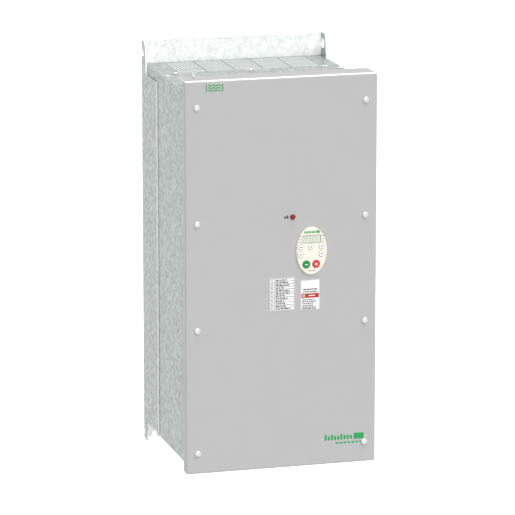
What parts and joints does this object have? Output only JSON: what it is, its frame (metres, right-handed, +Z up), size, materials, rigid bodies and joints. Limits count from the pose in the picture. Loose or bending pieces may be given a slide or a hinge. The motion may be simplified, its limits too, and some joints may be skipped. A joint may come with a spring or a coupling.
{
  "type": "variable frequency drive",
  "caption": "Wall-hung variable frequency drive: galvanised case with fixing strips, painted front cover on dome screws, oval keypad, finned duct with fans and boards inside.",
  "frame": {"origin": "centre of the wall face, which is the back of the rear channel", "axes": "+Z up, +Y into the wall, so the front cover looks along -Y and +X is to the right of a person facing it"},
  "size_m": [0.31, 0.295, 0.66],
  "materials": {
    "galvanised": "hot-dip galvanised sheet, soft streaky spangle",
    "cover_paint": "light grey powder coat, fine texture",
    "zinc_screw": "bright zinc",
    "gasket_rubber": "matt",
    "ivory_plastic": "smooth",
    "key_white": "smooth",
    "key_green": "smooth",
    "key_red": "smooth",
    "lamp_red": "clear red dome",
    "display_plastic": "clear window over a pale display",
    "label_foil": "printed foil",
    "aluminium": "plain extruded",
    "black_plastic": "moulded",
    "circuit_board": "solder mask",
    "capacitor_sleeve": "shrink sleeve",
    "copper": "enamelled copper",
    "laminations": "varnished laminations",
    "grey_plastic": "moulded",
    "green_plastic": "moulded",
    "brass_bar": "plain"
  },
  "bodies": {
    "enclosure": {"rear_channel": "galvanised", "right_side_panel": "galvanised", "left_side_panel": "galvanised", "top_plate": "galvanised", "gland_plate": "galvanised", "bulkhead": "galvanised", "front_frame": "galvanised", "fan_tray": "galvanised", "control_bracket": "galvanised", "line_filter": "galvanised", "vent_grille": "aluminium", "heat_sink": "aluminium", "blanking_plug_1": "black_plastic", "blanking_plug_2": "black_plastic", "blanking_plug_3": "black_plastic", "top_screw_1": "zinc_screw", "top_screw_2": "zinc_screw", "top_screw_3": "zinc_screw", "top_screw_4": "zinc_screw", "top_screw_5": "zinc_screw", "fan_frame_1": "black_plastic", "fan_frame_2": "black_plastic", "power_module": "black_plastic", "power_board": "circuit_board", "capacitor_1": "capacitor_sleeve", "capacitor_2": "capacitor_sleeve", "capacitor_3": "capacitor_sleeve", "capacitor_4": "capacitor_sleeve", "choke_core": "laminations", "choke_winding": "copper", "control_board": "circuit_board", "control_terminals": "green_plastic", "power_terminals": "grey_plastic", "earth_bar": "brass_bar"},
    "cover": {"front_cover": "cover_paint", "cover_gasket": "gasket_rubber", "bonding_stud": "zinc_screw", "cover_screw_1": "zinc_screw", "cover_screw_2": "zinc_screw", "cover_screw_3": "zinc_screw", "cover_screw_4": "zinc_screw", "cover_screw_5": "zinc_screw", "cover_screw_6": "zinc_screw", "cover_screw_7": "zinc_screw", "cover_screw_8": "zinc_screw", "charge_lamp": "lamp_red", "parameter_label": "label_foil", "rating_label": "label_foil", "keypad_bezel": "ivory_plastic", "keypad_board": "black_plastic", "display_window": "display_plastic"},
    "key_up": {"key_up": "key_white"},
    "key_down": {"key_down": "key_white"},
    "key_mode": {"key_mode": "key_white"},
    "key_local": {"key_local": "key_white"},
    "key_hand": {"key_hand": "key_white"},
    "key_run": {"key_run": "key_green"},
    "key_stop": {"key_stop": "key_red"},
    "fan_rotor_1": {"fan_rotor_1": "black_plastic"},
    "fan_rotor_2": {"fan_rotor_2": "black_plastic"}
  },
  "joints": [
    {"name": "cover_lift_off", "type": "slide", "parent": "enclosure", "child": "cover", "axis": [0, -1, 0], "range_m": [0, 0.3]},
    {"name": "key_up_press", "type": "slide", "parent": "cover", "child": "key_up", "axis": [0, 1, 0], "range_m": [0, 0.0008], "stiffness_N_per_m": 600, "springref_m": -0.0003},
    {"name": "key_down_press", "type": "slide", "parent": "cover", "child": "key_down", "axis": [0, 1, 0], "range_m": [0, 0.0008], "stiffness_N_per_m": 600, "springref_m": -0.0003},
    {"name": "key_mode_press", "type": "slide", "parent": "cover", "child": "key_mode", "axis": [0, 1, 0], "range_m": [0, 0.0008], "stiffness_N_per_m": 600, "springref_m": -0.0003},
    {"name": "key_local_press", "type": "slide", "parent": "cover", "child": "key_local", "axis": [0, 1, 0], "range_m": [0, 0.0008], "stiffness_N_per_m": 600, "springref_m": -0.0003},
    {"name": "key_hand_press", "type": "slide", "parent": "cover", "child": "key_hand", "axis": [0, 1, 0], "range_m": [0, 0.0008], "stiffness_N_per_m": 600, "springref_m": -0.0003},
    {"name": "key_run_press", "type": "slide", "parent": "cover", "child": "key_run", "axis": [0, 1, 0], "range_m": [0, 0.0008], "stiffness_N_per_m": 600, "springref_m": -0.0003},
    {"name": "key_stop_press", "type": "slide", "parent": "cover", "child": "key_stop", "axis": [0, 1, 0], "range_m": [0, 0.0008], "stiffness_N_per_m": 600, "springref_m": -0.0003},
    {"name": "fan_1_spin", "type": "hinge", "parent": "enclosure", "child": "fan_rotor_1", "pos_m": [-0.06, -0.05015, -0.27], "axis": [0, 0, 1], "continuous": true},
    {"name": "fan_2_spin", "type": "hinge", "parent": "enclosure", "child": "fan_rotor_2", "pos_m": [0.06, -0.05015, -0.27], "axis": [0, 0, 1], "continuous": true}
  ]
}
